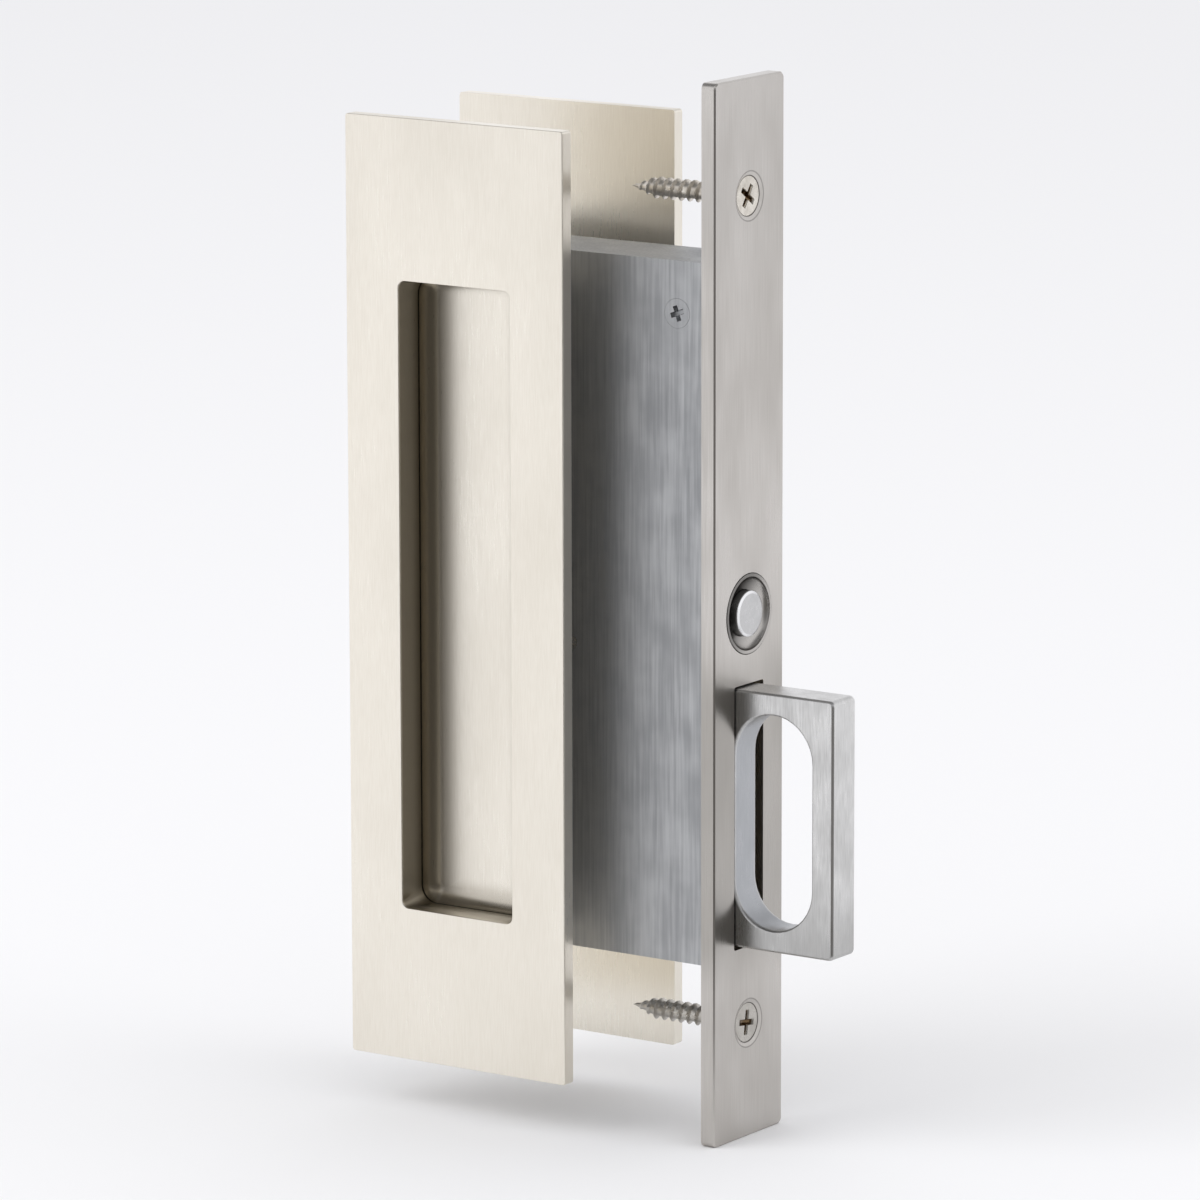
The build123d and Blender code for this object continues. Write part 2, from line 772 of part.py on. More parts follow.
# Rear cup: the same dish with two screw holes in its floor
with BuildPart() as rear_cup:
    mirror(front_cup.part, about=Plane.XZ)
    with BuildSketch(Plane.XZ.offset(-cup_floor)):
        with Locations(*post_spots):
            Circle(through_screw_diameter / 2 + run_gap)
    extrude(amount=cup_sheet, mode=Mode.SUBTRACT)
rear_cup.part.label = "rear_cup"
export_step(rear_cup.part, "parts/rear_cup.step")

# Through screws: pan heads in the rear cup, drawn into the front posts
with BuildPart() as through_screws:
    head_y = cup_floor + through_head_height
    rim_radius = through_head_diameter / 2
    for x, z in post_spots:
        with BuildSketch(Plane.XY.offset(z)):
            with BuildLine():
                Polyline(
                    (x, head_y),
                    (x, cup_floor - through_screw_length),
                    (x + through_screw_diameter / 2, cup_floor - through_screw_length),
                    (x + through_screw_diameter / 2, cup_floor),
                    (x + rim_radius, cup_floor),
                    (x + rim_radius, head_y - through_head_bevel),
                    (x + rim_radius - through_head_bevel, head_y),
                    close=True,
                )
            make_face()
        revolve(axis=Axis((x, 0, z), (0, 1, 0)))
        cross_recess(Plane((x, head_y, z), z_dir=(0, 1, 0)), inner_screw_turn, through_cross)
through_screws.part.label = "through_screws"
export_step(through_screws.part, "parts/through_screws.step")
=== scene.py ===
import math

import bpy
import numpy as np
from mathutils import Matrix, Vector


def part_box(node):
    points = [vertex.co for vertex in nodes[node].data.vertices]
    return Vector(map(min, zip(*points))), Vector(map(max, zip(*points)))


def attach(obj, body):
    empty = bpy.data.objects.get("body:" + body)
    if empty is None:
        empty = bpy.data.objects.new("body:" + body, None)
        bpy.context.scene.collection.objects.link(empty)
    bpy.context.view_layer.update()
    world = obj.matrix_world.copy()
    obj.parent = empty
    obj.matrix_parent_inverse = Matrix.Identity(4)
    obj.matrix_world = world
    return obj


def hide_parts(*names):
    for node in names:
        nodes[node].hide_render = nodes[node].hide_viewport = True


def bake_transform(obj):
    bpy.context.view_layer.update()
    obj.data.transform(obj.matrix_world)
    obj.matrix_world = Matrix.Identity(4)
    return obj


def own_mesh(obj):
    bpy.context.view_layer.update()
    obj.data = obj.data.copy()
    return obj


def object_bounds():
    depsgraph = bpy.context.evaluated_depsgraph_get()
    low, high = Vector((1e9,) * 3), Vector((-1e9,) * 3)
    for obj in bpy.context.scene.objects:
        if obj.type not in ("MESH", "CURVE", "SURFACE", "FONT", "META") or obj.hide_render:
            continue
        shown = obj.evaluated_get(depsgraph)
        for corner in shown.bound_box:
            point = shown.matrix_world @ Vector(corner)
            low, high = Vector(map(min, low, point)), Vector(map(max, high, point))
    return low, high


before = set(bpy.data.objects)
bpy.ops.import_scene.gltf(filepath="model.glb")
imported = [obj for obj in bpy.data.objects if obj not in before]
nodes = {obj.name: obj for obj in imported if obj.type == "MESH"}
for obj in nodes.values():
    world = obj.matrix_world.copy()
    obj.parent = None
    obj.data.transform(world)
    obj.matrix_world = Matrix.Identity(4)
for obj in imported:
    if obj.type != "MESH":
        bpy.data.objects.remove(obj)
cad_box = [list(corner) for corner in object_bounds()]


# Case: a drawn tray and a flat cover of sheet steel, screwed together over pillars.
# The sheet is zinc plated, a dull blue-grey with faint clouds and rolling marks up its length. The
# pillars, the lever with its pin and the springs' rods are bright steel.
class Shade:
    """A socket in a material. Its operators add Math nodes, and node() adds any other node."""

    def __init__(self, tree, socket):
        self.tree = tree
        self.socket = socket

    def node(self, kind, settings, inputs, output=0):
        """Adds a node, sets its settings and then its sockets, and gives one of its outputs."""
        made = self.tree.nodes.new(kind)
        for name, value in settings.items():
            setattr(made, name, value)
        for name, value in inputs.items():
            if isinstance(value, Shade):
                self.tree.links.new(value.socket, made.inputs[name])
            else:
                made.inputs[name].default_value = value
        return Shade(self.tree, made.outputs[output])

    def maths(self, operation, first, second):
        """Adds a Math node for one operation on two values."""
        return self.node("ShaderNodeMath", {"operation": operation}, {0: first, 1: second})

    def __add__(self, other):
        return self.maths("ADD", self, other)

    def __sub__(self, other):
        return self.maths("SUBTRACT", self, other)

    def __rsub__(self, other):
        return self.maths("SUBTRACT", other, self)

    def __mul__(self, other):
        return self.maths("MULTIPLY", self, other)

    __radd__ = __add__
    __rmul__ = __mul__

    def __abs__(self):
        return self.maths("ABSOLUTE", self, 0)

    def root(self):
        """The square root of this value."""
        return self.maths("SQRT", self, 0)

    def larger(self, other):
        """The larger of this value and another."""
        return self.maths("MAXIMUM", self, other)

    def axes(self):
        """The three coordinates of this vector, each as a value."""
        parts = self.node("ShaderNodeSeparateXYZ", {}, {"Vector": self}).socket.node.outputs
        return [Shade(self.tree, part) for part in parts]

    def noise(self, scale, detail):
        """Soft noise over these coordinates, with so many cycles to a metre along each axis."""
        stretched = self.node("ShaderNodeMapping", {}, {"Vector": self, "Scale": scale})
        return self.node("ShaderNodeTexNoise", {}, {"Vector": stretched, "Scale": 1, "Detail": detail})

    def ease(self, start, end):
        """A mask that eases from 0 to 1 while this value goes from start to end."""
        limits = {"Value": self, "From Min": start, "From Max": end}
        return self.node("ShaderNodeMapRange", {"interpolation_type": "SMOOTHSTEP"}, limits)

    def blend(self, first, second):
        """A colour that runs from the first to the second while this value goes from 0 to 1."""
        colours = {0: self, 6: first, 7: second}
        return self.node("ShaderNodeMix", {"data_type": "RGBA"}, colours, 2)

    def into(self, shader, socket):
        """Links this value to a socket of the shader."""
        self.tree.links.new(self.socket, shader.inputs[socket])


def surface_place(tree, kind="Object"):
    """The coordinates of a material or of the world, to build its masks on."""
    return Shade(tree, None).node("ShaderNodeTexCoord", {}, {}, kind)


def satin_metal(name, dark, pale, gloss, hairs, clouds, cloud_share, depth):
    """A metal brushed or rolled along one way.

    Fine noise drawn out along the brushing is added to soft clouds, each with its share. The sum
    picks the colour between dark and pale and the roughness within gloss, and the fine noise also
    raises a bump of that depth. Gives the material, its shader, its coordinates and its colour.
    """
    material = bpy.data.materials.new(name)
    material.use_nodes = True
    tree = material.node_tree
    shader = tree.nodes["Principled BSDF"]
    shader.inputs["Metallic"].default_value = 1
    place = surface_place(tree)
    brushing = place.noise(hairs, detail=3)
    cloud = place.noise(clouds, detail=2)
    worn = (brushing * (1 - cloud_share) + cloud * cloud_share).ease(0.3, 0.7)
    colour = worn.blend((*dark, 1), (*pale, 1))
    colour.into(shader, "Base Color")
    (gloss[1] - worn * (gloss[1] - gloss[0])).into(shader, "Roughness")
    raised = {"Height": brushing, "Strength": 0.5, "Distance": depth}
    place.node("ShaderNodeBump", {}, raised).into(shader, "Normal")
    return material, shader, place, colour


def dress(material, *names):
    """Gives CAD nodes a material in place of their own."""
    for name in names:
        nodes[name].data.materials.clear()
        nodes[name].data.materials.append(material)


zinc = satin_metal(
    "zinc_plate",
    dark=(0.46, 0.47, 0.485),
    pale=(0.58, 0.59, 0.60),
    gloss=(0.50, 0.62),
    hairs=(1800, 1800, 60),
    clouds=(160, 160, 120),
    cloud_share=0.45,
    depth=0.00001,
)[0]
dress(zinc, "case_body", "case_cover", "spring_abutment")
bright_steel = satin_metal(
    "bright_steel",
    dark=(0.44, 0.44, 0.45),
    pale=(0.62, 0.62, 0.63),
    gloss=(0.22, 0.34),
    hairs=(2500, 300, 2500),
    clouds=(400, 400, 400),
    cloud_share=0.3,
    depth=0.000006,
)[0]
dress(bright_steel, "cover_pillars", "lever_pivot_pin", "spring_guide_rods", "release_lever")

# Carriage, bezel nut and posts: machined brass with fine tool marks.
# The carriage sockets the pull's tongue, and two steel pins cross it.
brass = satin_metal(
    "machined_brass",
    dark=(0.52, 0.38, 0.16),
    pale=(0.74, 0.58, 0.30),
    gloss=(0.24, 0.36),
    hairs=(300, 2600, 2600),
    clouds=(150, 150, 150),
    cloud_share=0.4,
    depth=0.000006,
)[0]
dress(brass, "pull_carriage", "bezel_nut", "front_posts")
dress(bright_steel, "carriage_pins")

# Springs: round oil-tempered wire, coiled cold, almost black.
# Two throw the pull out, one returns the button and one turns the lever down.
wire_sides = 12
turn_points = 32
tempered = satin_metal(
    "tempered_wire",
    dark=(0.10, 0.10, 0.11),
    pale=(0.26, 0.26, 0.28),
    gloss=(0.28, 0.42),
    hairs=(900, 900, 900),
    clouds=(300, 300, 300),
    cloud_share=0.5,
    depth=0.000004,
)[0]
dress(tempered, "catch_leaf", "button_clip")


def piece_from_loops(name, bodies, material, closed=False, crease=35):
    """A mesh from bodies of points, each body being rows of closed loops joined by quads.

    Closed bodies join their last loop to their first, and others have both end loops filled. Faces
    are turned outwards by the sign of the volume that they enclose about the body's own middle.
    """
    points = []
    faces = []
    count = 0
    for body in bodies:
        rows, columns = body.shape[:2]
        index = np.arange(rows * columns).reshape(rows, columns)
        following = np.roll(index, -1, 0)
        if not closed:
            index, following = index[:-1], following[:-1]
        quads = np.stack([index, np.roll(index, -1, 1), np.roll(following, -1, 1), following], -1)
        quads = quads.reshape(-1, 4)
        flat = body.reshape(-1, 3)
        a, b, c, d = np.moveaxis((flat - flat.mean(0))[quads], 1, 0)
        volume = np.sum(a * (np.cross(b, c) + np.cross(c, d)))
        ends = [] if closed else [index[0][::-1], following[-1]]
        turn = 1 if volume > 0 else -1
        faces += (quads[:, ::turn] + count).tolist()
        faces += [(end[::turn] + count).tolist() for end in ends]
        points.append(flat)
        count += len(flat)
    mesh = bpy.data.meshes.new(name)
    mesh.from_pydata(np.concatenate(points).tolist(), [], faces)
    mesh.polygons.foreach_set("use_smooth", np.ones(len(faces), bool))
    mesh.set_sharp_from_angle(angle=math.radians(crease))
    mesh.materials.append(material)
    made = bpy.data.objects.new(name, mesh)
    bpy.context.scene.collection.objects.link(made)
    return made


def round_wire(route, radius, across):
    """A round wire along a route of points: a circle about each point, square to the run there.

    The circle's two axes are the direction across the wire, made square to the run, and the cross
    product of the two.
    """
    run = np.gradient(route, axis=0)
    run /= np.linalg.norm(run, axis=1, keepdims=True)
    first = across - np.sum(across * run, 1, keepdims=True) * run
    first /= np.linalg.norm(first, axis=1, keepdims=True)
    second = np.cross(run, first)
    angle = np.linspace(0, 2 * np.pi, wire_sides, endpoint=False)[:, None]
    ring = np.cos(angle) * first[:, None] + np.sin(angle) * second[:, None]
    return route[:, None] + radius * ring


def node_box(node):
    """The low and high corners of a CAD node's box."""
    return [np.array(corner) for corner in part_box(node)]


def coil_spring(name, node, wire, turns):
    """A compression coil along X that fills a node's box.

    The route is a helix, whose angle grows evenly along X.
    """
    low, high = node_box(node)
    mid_y, mid_z = ((low + high) / 2)[1:]
    mean_radius = (high - low)[2] / 2 - wire / 2
    angle = np.linspace(0, 2 * np.pi * turns, turns * turn_points + 1)
    radial = np.stack([0 * angle, np.cos(angle), np.sin(angle)], 1)
    along = np.linspace(low[0] + wire / 2, high[0] - wire / 2, len(angle))
    route = radial * mean_radius + np.stack([along, 0 * along + mid_y, 0 * along + mid_z], 1)
    made = piece_from_loops(name, [round_wire(route, wire / 2, radial)], tempered)
    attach(made, "lock")
    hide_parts(node)
    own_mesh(made)


throw_wire = 0.001
throw_turns = 6
return_wire = 0.0008
return_turns = 3
coil_spring("upper_throw_spring", "pull_spring_upper", throw_wire, throw_turns)
coil_spring("lower_throw_spring", "pull_spring_lower", throw_wire, throw_turns)
coil_spring("return_spring", "button_spring", return_wire, return_turns)
lever_low, lever_high = node_box("lever_spring")
lever_wire = 0.0006
lever_coil_radius = 0.0029
lever_leg_back = 0.013
lever_turns = 2.75
lever_points = 90
lever_x = lever_low[0] + lever_leg_back
lever_z = lever_low[2] + lever_coil_radius + lever_wire / 2
lever_y = (lever_low[1] + lever_wire / 2, lever_high[1] - lever_wire / 2)
lever_angle = np.pi / 2 - np.linspace(0, 2 * np.pi * lever_turns, lever_points)
lever_radial = np.stack([np.cos(lever_angle), 0 * lever_angle, np.sin(lever_angle)], 1)
lever_coil_y = np.linspace(*lever_y, lever_points)
lever_coil = lever_coil_radius * lever_radial
lever_coil += np.stack([0 * lever_angle + lever_x, lever_coil_y, 0 * lever_angle + lever_z], 1)
lever_route = np.concatenate(
    [
        [(lever_low[0], lever_y[0], lever_z + lever_coil_radius)],
        lever_coil,
        [(lever_x - lever_coil_radius, lever_y[1], lever_high[2])],
    ]
)
lever_across = np.concatenate([lever_radial[:1], lever_radial, lever_radial[-1:]])
lever_wound = piece_from_loops(
    "lever_torsion_spring",
    [round_wire(lever_route, lever_wire / 2, lever_across)],
    tempered,
)
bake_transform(lever_wound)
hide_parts("lever_spring")

# Faceplate: a flat bar of satin stainless steel let into the door's edge, brushed along its length.
# Soft painted shade darkens the face round the slot, where the pull stands, and thin painted shadow
# lines ring the screws' sinks. The edges and holes are cut clean.
plate_steel, face_shader, face_place, face_colour = satin_metal(
    "faceplate_steel",
    dark=(0.50, 0.475, 0.445),
    pale=(0.62, 0.595, 0.565),
    gloss=(0.26, 0.36),
    hairs=(6000, 6000, 90),
    clouds=(80, 80, 34),
    cloud_share=0.65,
    depth=0.000004,
)
slot_middle = -0.0387
# Painted shade: a soft darker band across the face round the slot, where the pull stands out.
slot_shade_reach = (0.034, 0.022)
slot_shade_share = 0.5
painted_slot_shade = (0.30, 0.285, 0.26, 1)
# Painted shadow: two thin dark rings round each screw's sink, on the plate's front face.
screw_centre = 0.079375
sink_lines = (0.0038, 0.0047)
sink_line_shares = (0.9, 0.45)
sink_line_fade = (0.00005, 0.0002)
front_half = (0.0015, 0.0025)
sink_shadow = (0.05, 0.045, 0.04, 1)
face_x, face_y, face_z = face_place.axes()
off_screw = abs(face_z) - screw_centre
from_screw = (face_y * face_y + off_screw * off_screw).root()
inner_line, outer_line = (
    share * (1 - abs(from_screw - radius).ease(*sink_line_fade))
    for radius, share in zip(sink_lines, sink_line_shares)
)
# The painted shade round the slot is blended into the brushed colour.
slot_shaded = (slot_shade_share * abs(face_z - slot_middle).ease(*slot_shade_reach)).blend(face_colour, painted_slot_shade)
sink_shadow_mask = face_x.ease(*front_half) * (inner_line + outer_line)
sink_shadow_mask.blend(slot_shaded, sink_shadow).into(face_shader, "Base Color")
dress(plate_steel, "faceplate")

# Bezel and push button: both turned from stainless bar.
# The bezel is dished round the button, which stands a little proud with a chamfer brightened by a
# painted highlight. Painted shade darkens the dish, most of all above the button and towards the near
# flush plate.
turned_sides = 96
round_points = 6
round_guard = 0.15


def rounded_profile(corners, rounding):
    """An outline with each corner softened by a short parabola.

    The parabola starts and ends at the rounding's length from the corner, and one guard point more
    on each side keeps the straight runs flat. A corner with no rounding stays as it is.
    """
    corners = np.array(corners, float)
    steps = np.linspace(0, 1, round_points)[:, None]
    outline = []
    for step, length in enumerate(rounding):
        before, corner, after = corners[step - 1], corners[step], corners[(step + 1) % len(corners)]
        if length == 0:
            outline.append(corner[None])
            continue
        back = corner + (before - corner) * length / np.linalg.norm(before - corner)
        ahead = corner + (after - corner) * length / np.linalg.norm(after - corner)
        curve = (1 - steps) ** 2 * back + 2 * steps * (1 - steps) * corner + steps**2 * ahead
        guards = [(end + round_guard * (end - corner))[None] for end in (back, ahead)]
        outline += [guards[0], curve, guards[1]]
    return np.concatenate(outline)


def turned(profile):
    """A turned body: each point of the profile, a place along X and a radius, goes round the axis."""
    angle = np.linspace(0, 2 * np.pi, turned_sides, endpoint=False)
    along = profile[:, :1] + 0 * angle
    return np.stack([along, profile[:, 1:] * np.cos(angle), profile[:, 1:] * np.sin(angle)], -1)


hair = 0.00002
turned_steel, turned_shader, turned_place, turned_colour = satin_metal(
    "turned_steel",
    dark=(0.60, 0.60, 0.60),
    pale=(0.66, 0.66, 0.66),
    gloss=(0.26, 0.32),
    hairs=(6000, 1500, 1500),
    clouds=(300, 300, 300),
    cloud_share=0.6,
    depth=0.0000015,
)
turned_shader.inputs["Specular Tint"].default_value = (0.3, 0.3, 0.3, 1)
bezel_low, bezel_high = node_box("button_bezel")
button_low, button_high = node_box("push_button")
button_radius = button_high[1]
button_chamfer = 0.0005
chamfer_drop = 0.00026
button_head = 0.0045
stem_radius = 0.00225
running_gap = 0.0001
bezel_flange = 0.0019
bezel_rim = 0.0007
dish_depth = 0.0016
bushing_wall = 0.00075
spring_floor = -0.0076
bore_radius = button_radius + running_gap
bezel_front = bezel_high[0]
bezel_radius = bezel_high[1]
bezel_tone = (0.54, 0.52, 0.495, 1)
# Painted highlight: the button's chamfer is painted near white.
painted_chamfer_highlight = (0.93, 0.93, 0.94, 1)
# Painted shade: near black painted into the dish, down the button's side within it, and over the rim
# above the button.
painted_dish_shade = (0.06, 0.058, 0.055, 1)
rim_share = 0.6
dish_shares = (0.08, 0.88)
side_share = 0.3
shelter_slope = 0.6
shelter_fade = (-0.005, 0.0045)
dish_fade = (0.0001, 0.0012)
side_fade = (0.0001, 0.0006)
chamfer_fade = (0.0003, 0.0001)
chamfer_edge = 0.0001
button_flat = button_radius - button_chamfer
button_z = (button_low[2] + button_high[2]) / 2
turned_x, turned_y, turned_z = turned_place.axes()
below_rim = bezel_front - turned_x
above_axis = turned_z - button_z
from_axis = (turned_y * turned_y + above_axis * above_axis).root()
on_bezel = from_axis.ease(button_radius, bore_radius)
on_button = 1 - on_bezel
sheltered = (shelter_slope * above_axis - turned_y).ease(*shelter_fade)
in_bezel = below_rim.ease(*dish_fade)
dish_shade = (in_bezel * (dish_shares[0] + dish_shares[1] * sheltered)).larger(rim_share * sheltered)
button_side_shade = side_share * below_rim.ease(*side_fade)
past_flat = from_axis.ease(button_flat - chamfer_edge, button_flat + chamfer_edge)
on_chamfer = on_button * past_flat * below_rim.ease(*chamfer_fade)
turned_tone = on_chamfer.blend(on_bezel.blend(turned_colour, bezel_tone), painted_chamfer_highlight)
# Painted shade in the dish and on the button's side, where little light reaches.
shade_mask = on_bezel * dish_shade + on_button * button_side_shade
shade_mask.blend(turned_tone, painted_dish_shade).into(turned_shader, "Base Color")
dish_points = 14
dish_angle = np.linspace(0, np.pi / 2, dish_points)[1:-1, None]
dish_start = np.array([bezel_front, bezel_radius - bezel_rim])
dish_end = np.array([bezel_front - dish_depth, bore_radius])
dish_curve = np.concatenate(
    [
        dish_start[:1] - (dish_start - dish_end)[:1] * np.sin(dish_angle),
        dish_end[1:] + (dish_start - dish_end)[1:] * np.cos(dish_angle),
    ],
    1,
)
bezel_corners = [
    (bezel_front, bezel_radius),
    (bezel_front - bezel_flange, bezel_radius),
    (bezel_front - bezel_flange, bore_radius + bushing_wall),
    (bezel_low[0], bore_radius + bushing_wall),
    (bezel_low[0], stem_radius + running_gap),
    (spring_floor, stem_radius + running_gap),
    (spring_floor, bore_radius),
    tuple(dish_end),
    *(tuple(point) for point in dish_curve[::-1]),
    tuple(dish_start),
]
rim_ease = 0.00018
bezel_rounding = [rim_ease, *([hair] * 7), *([0] * len(dish_curve)), rim_ease]
bezel = piece_from_loops(
    "dished_bezel",
    [turned(rounded_profile(bezel_corners, bezel_rounding))],
    turned_steel,
    closed=True,
)
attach(bezel, "lock")
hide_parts("button_bezel")

clip_front = -0.0098
clip_groove = (0.00085, 0.00055)
head_back = button_high[0] - button_head
button_corners = [
    (button_high[0], hair),
    (button_high[0], button_radius - button_chamfer),
    (button_high[0] - chamfer_drop, button_radius),
    (head_back, button_radius),
    (head_back, stem_radius),
    (clip_front, stem_radius),
    (clip_front, stem_radius - clip_groove[1]),
    (clip_front - clip_groove[0], stem_radius - clip_groove[1]),
    (clip_front - clip_groove[0], stem_radius),
    (button_low[0], stem_radius),
    (button_low[0], hair),
]
chamfer_eases = (0.00012, 0.0001)
button_rounding = [0, *chamfer_eases, hair, hair, 0, 0, 0, 0, hair, 0]
button = piece_from_loops(
    "turned_button",
    [turned(rounded_profile(button_corners, button_rounding))],
    turned_steel,
)
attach(button, "button")
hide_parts("push_button")

# Screws: countersunk heads with cross recesses, cold headed from wire, with rolled threads.
# They are nickel plated over steel. Brown dirt and painted shade darken the cross recesses, and the
# lower screw is painted greyer.
screw_plate, screw_shader, screw_place, screw_colour = satin_metal(
    "screw_plate",
    dark=(0.52, 0.48, 0.42),
    pale=(0.80, 0.76, 0.69),
    gloss=(0.24, 0.38),
    hairs=(900, 900, 900),
    clouds=(260, 260, 260),
    cloud_share=0.6,
    depth=0.000006,
)
head_angles = 160
head_rings = 52
edge_rings = np.array([0.7, 0.35, 0])
pitch_rings = 12


def cross_depth(across, up, length, slot, depth):
    """How far a cross recess goes in below each point of a head.

    A point lies in an arm by its distance inside a bar of that length and slot width. The depth
    eases in over a short way from the nearer arm's edge, and lessens towards the arms' ends.
    """
    in_level = np.minimum(length / 2 - np.abs(across), slot / 2 - np.abs(up))
    in_upright = np.minimum(length / 2 - np.abs(up), slot / 2 - np.abs(across))
    side_slope = 0.3 * slot
    end_rise = 0.55
    inside = np.clip(np.maximum(in_level, in_upright) / side_slope, 0, 1)
    reach = 1 - end_rise * np.clip(np.hypot(across, up) / (length / 2), 0, 1) ** 2
    return depth * inside * inside * (3 - 2 * inside) * reach


def recessed_head(radius, edge, turn, length, slot, depth):
    """The top of a screw's head as loops about its axis, with depths below its face.

    Radii run from near the axis to the rim, whose edge is rounded off. Gives each point's place
    across, up and below.
    """
    rings = np.concatenate([np.linspace(hair, radius - edge, head_rings), radius - edge * edge_rings])
    angle = np.linspace(0, 2 * np.pi, head_angles, endpoint=False)
    across = rings[:, None] * np.cos(angle)
    up = rings[:, None] * np.sin(angle)
    below = cross_depth(
        across * math.cos(turn) + up * math.sin(turn),
        up * math.cos(turn) - across * math.sin(turn),
        length,
        slot,
        depth,
    )
    fall = np.clip((rings - (radius - edge)) / edge, 0, 1)
    return across, up, below + (edge * (1 - np.sqrt(1 - fall**2)))[:, None]


def screw_thread(start, end, crest, root, pitch, point):
    """A threaded shank as loops along it: places along the shank and radii.

    The radius falls from crest to root and back once each pitch, and the phase turns once round the
    shank. Over the first two pitches the thread grows, and towards the point all shrinks to a hair.
    """
    flat_root = 0.55
    flank = 0.4
    along = np.arange(start, end, pitch / pitch_rings)[:, None]
    angle = np.linspace(0, 2 * np.pi, head_angles, endpoint=False)
    phase = np.abs(((along / pitch - angle / (2 * np.pi)) % 1) * 2 - 1)
    ridge = np.clip((phase - flat_root) / flank, 0, 1)
    begin = np.clip((along - start) / (2 * pitch), 0, 1)
    radius = crest + (root - crest) * begin + (crest - root) * ridge * begin
    taper = np.clip((end - along) / point, hair / root, 1)
    return along + 0 * angle, radius * taper


screws_low, screws_high = node_box("faceplate_screws")
head_radius = screws_high[1]
head_edge = 0.00015
cross_length = 0.0050
cross_slot = 0.00125
cross_sunk = 0.0013
neck_radius = 0.00235
neck_places = [0.0015, 0.0026, 0.0027, 0.0044]
shank_radius = 0.0021
thread_start = 0.0045
thread_root = 0.0015
thread_pitch = 0.0019
point_length = 0.0055
screw_turns = (math.radians(-35), math.radians(-8))
screw_places = (screws_high[2] - head_radius, screws_low[2] + head_radius)


def wood_screw(head_x, centre_z, turn, tip_x):
    """A wood screw along X: recessed head, cone and neck under it, threaded shank and point."""
    across, up, below = recessed_head(head_radius, head_edge, turn, cross_length, cross_slot, cross_sunk)
    angle = np.linspace(0, 2 * np.pi, head_angles, endpoint=False)
    along, radius = screw_thread(
        thread_start, head_x - tip_x, shank_radius, thread_root, thread_pitch, point_length
    )
    head = np.stack([head_x - below, across, centre_z + up], -1)
    neck_along = np.array(neck_places)[:, None] + 0 * angle
    neck_around = np.array([neck_radius, neck_radius, shank_radius, shank_radius])[:, None] + 0 * angle
    along = np.concatenate([neck_along, along])
    radius = np.concatenate([neck_around, radius])
    shank = np.stack([head_x - along, radius * np.cos(angle), centre_z + radius * np.sin(angle)], -1)
    return np.concatenate([head, shank])


# The lower screw is painted greyer than the upper one.
lower_screw_grey = (0.40, 0.39, 0.37, 1)
lower_grey_share = 0.6
# Brown dirt and painted shade: the cross recesses are painted darker with their depth below the head.
recess_dirt_and_shade = (0.15, 0.10, 0.055, 1)
lower_grey_fade = (0.01, -0.01)
recess_shade_start = (0.0002, 0.0006)
recess_shade_end = (0.0016, 0.0012)
screw_x, _, screw_z = screw_place.axes()
below_head = screws_high[0] - screw_x
in_cross = below_head.ease(*recess_shade_start) * below_head.ease(*recess_shade_end)
lower_greyed = (lower_grey_share * screw_z.ease(*lower_grey_fade)).blend(screw_colour, lower_screw_grey)
in_cross.blend(lower_greyed, recess_dirt_and_shade).into(screw_shader, "Base Color")
wood_screws = piece_from_loops(
    "wood_screws",
    [
        wood_screw(screws_high[0], place, turn, screws_low[0])
        for place, turn in zip(screw_places, screw_turns)
    ],
    screw_plate,
)
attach(wood_screws, "lock")
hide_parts("faceplate_screws")
dress(zinc, "cover_screws")
dress(screw_plate, "through_screws")

# Flush plates: cast brass with a rectangular window and a collar behind it, one on each door face.
# They are satin nickel plated over fine upright brushing, and their edges are slightly eased. Brown
# tarnish and painted shade darken the recess, deepest beside the seam, whose groove is a painted dark
# shadow line.
nickel, nickel_shader, nickel_place, nickel_colour = satin_metal(
    "satin_nickel",
    dark=(0.85, 0.80, 0.705),
    pale=(0.905, 0.86, 0.77),
    gloss=(0.27, 0.34),
    hairs=(6500, 6500, 300),
    clouds=(45, 45, 20),
    cloud_share=0.45,
    depth=0.000003,
)
nickel_shader.inputs["Anisotropic"].default_value = 0.6
corner_points = 10


def framed_loops(profile, side):
    """Rounded rectangles carried through a profile.

    Each row of the profile gives a middle along X and Z, half widths along X and Z, a corner radius
    and a level out from the door's middle. Corners are quarter circles about their own centres.
    """
    middle_x, middle_z, half_x, half_z, radius, level = (column[:, None] for column in profile.T)
    radius = np.maximum(radius, hair)
    quarter = np.arange(4)[:, None]
    angle = (np.linspace(0, np.pi / 2, corner_points) + quarter * np.pi / 2).ravel()
    toward_x = np.repeat([1, -1, -1, 1], corner_points)
    toward_z = np.repeat([1, 1, -1, -1], corner_points)
    x = middle_x + toward_x * (half_x - radius) + radius * np.cos(angle)
    z = middle_z + toward_z * (half_z - radius) + radius * np.sin(angle)
    return np.stack([x, side * level + 0 * angle, z], -1)


window_width = 0.0257
window_height = 0.122
window_drop = 0.0006
window_corner = 0.0014
collar_wall = 0.002
plate_thickness = 0.0028
plate_ease = 0.0003
lip_ease = 0.0002
cup_round = 0.0034
plate_low, plate_high = node_box("front_plate")
plate_x = (plate_low[0] + plate_high[0]) / 2
plate_half_x = (plate_high[0] - plate_low[0]) / 2
plate_half_z = plate_high[2]
plate_front = -plate_low[1]
plate_back = plate_front - plate_thickness
seam = -plate_high[1]
plate_corner = 0.0006
flat_border = 0.001


def inset_loop(middle_z, half_x, half_z, radius, inset, level):
    """One row of a plate's profile, moved in from an outline by an inset."""
    return (plate_x, middle_z, half_x - inset, half_z - inset, radius - inset, level)


